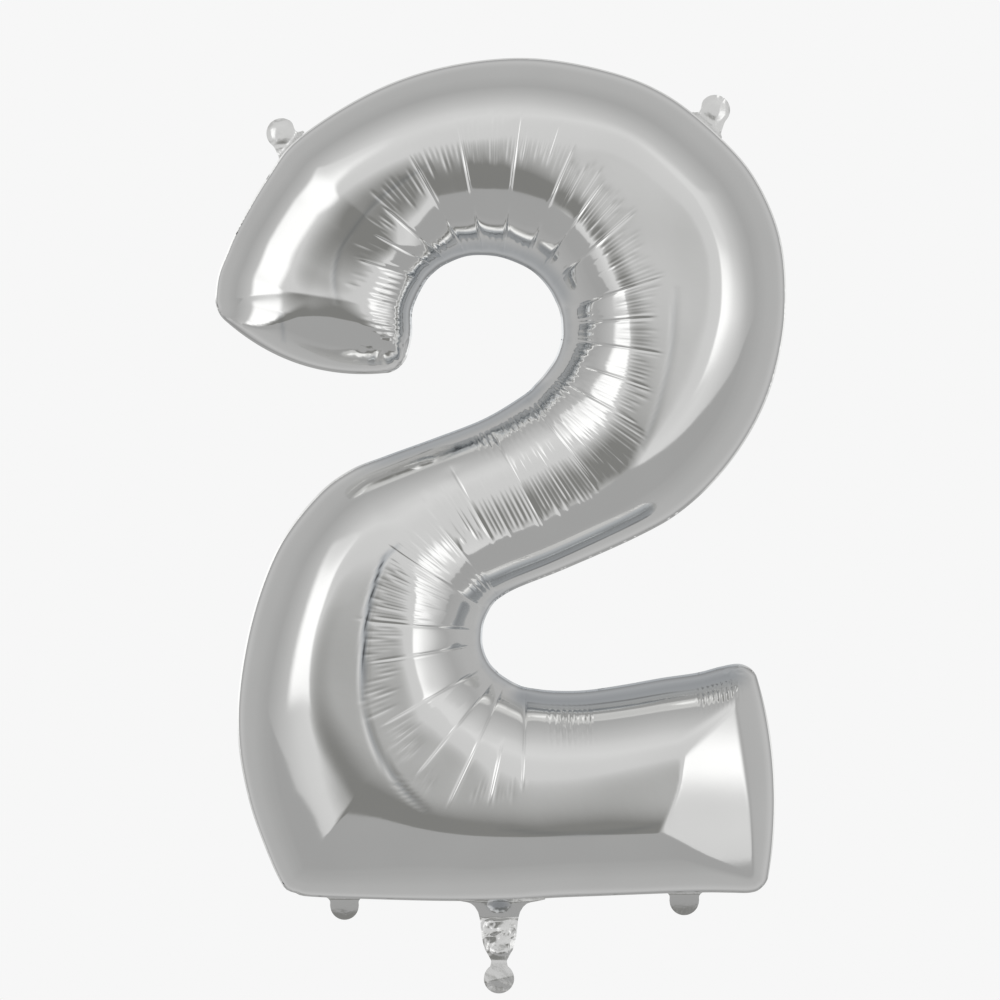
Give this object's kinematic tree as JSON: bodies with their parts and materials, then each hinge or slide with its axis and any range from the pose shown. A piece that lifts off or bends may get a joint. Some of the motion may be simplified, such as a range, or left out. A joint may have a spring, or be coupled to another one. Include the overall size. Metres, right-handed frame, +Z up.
{
  "type": "foil number balloon",
  "caption": "Inflated foil balloon shaped as the number 2, with a sealed rim, hanging tabs, a flat tail with a fill opening, a tie tab and a self-closing film valve inside.",
  "frame": {"origin": "the waist of the tail, where the ribbon is tied, midway between the front and back plies", "axes": "+Z up along the digit's height; +X to the digit's right as read from the front; -Y out of the front face"},
  "size_m": [0.587, 0.2064, 0.9586],
  "materials": {
    "foil": "mirror-bright metallised film, smooth where it is stretched and finely creased where it is gathered",
    "welded_foil": "two metallised plies heat-sealed face to face, bright and crinkled",
    "valve_film": "clear polyethylene film, slightly hazy"
  },
  "bodies": {
    "envelope": {"front_panel": "foil", "back_panel": "foil", "edge_weld": "welded_foil", "valve_throat": "valve_film"},
    "neck": {"neck_front_ply": "foil", "neck_back_ply": "foil", "neck_weld": "welded_foil", "valve_inlet": "valve_film"},
    "tie_tab": {"tie_tab": "welded_foil"},
    "tab_top_left": {"tab_top_left": "welded_foil"},
    "tab_top_right": {"tab_top_right": "welded_foil"},
    "tab_bottom_left": {"tab_bottom_left": "welded_foil"},
    "tab_bottom_right": {"tab_bottom_right": "welded_foil"},
    "valve_front": {"valve_front_ply": "valve_film"},
    "valve_back": {"valve_back_ply": "valve_film"}
  },
  "joints": [
    {"name": "neck_fold", "type": "hinge", "parent": "envelope", "child": "neck", "pos_m": [0, 0, 0.0608], "axis": [1, 0, 0], "range_deg": [-75, 75], "stiffness_Nm_per_rad": 0.0004},
    {"name": "waist_fold", "type": "hinge", "parent": "neck", "child": "tie_tab", "pos_m": [0, 0, 0], "axis": [1, 0, 0], "range_deg": [-80, 80], "stiffness_Nm_per_rad": 0.0002},
    {"name": "top_left_fold", "type": "hinge", "parent": "envelope", "child": "tab_top_left", "pos_m": [-0.2147, 0, 0.8362], "axis": [0.6157, 0, 0.788], "range_deg": [-75, 75], "stiffness_Nm_per_rad": 0.0002},
    {"name": "top_right_fold", "type": "hinge", "parent": "envelope", "child": "tab_top_right", "pos_m": [0.2146, 0, 0.8582], "axis": [0.7513, 0, -0.66], "range_deg": [-75, 75], "stiffness_Nm_per_rad": 0.0002},
    {"name": "bottom_left_fold", "type": "hinge", "parent": "envelope", "child": "tab_bottom_left", "pos_m": [-0.1585, 0, 0.064], "axis": [1, 0, 0], "range_deg": [-75, 75], "stiffness_Nm_per_rad": 0.0002},
    {"name": "bottom_right_fold", "type": "hinge", "parent": "envelope", "child": "tab_bottom_right", "pos_m": [0.19, 0, 0.0692], "axis": [1, 0, 0], "range_deg": [-75, 75], "stiffness_Nm_per_rad": 0.0002},
    {"name": "valve_front_open", "type": "hinge", "parent": "envelope", "child": "valve_front", "pos_m": [0, -0.0003, 0.0686], "axis": [1, 0, 0], "range_deg": [0, 8], "stiffness_Nm_per_rad": 0.0002},
    {"name": "valve_back_open", "type": "hinge", "parent": "envelope", "child": "valve_back", "pos_m": [0, 0.0003, 0.0686], "axis": [1, 0, 0], "range_deg": [-8, 0], "stiffness_Nm_per_rad": 0.0002}
  ],
  "couplings": [
    {"joint": "valve_back_open", "follows": "valve_front_open", "ratio": -1}
  ]
}
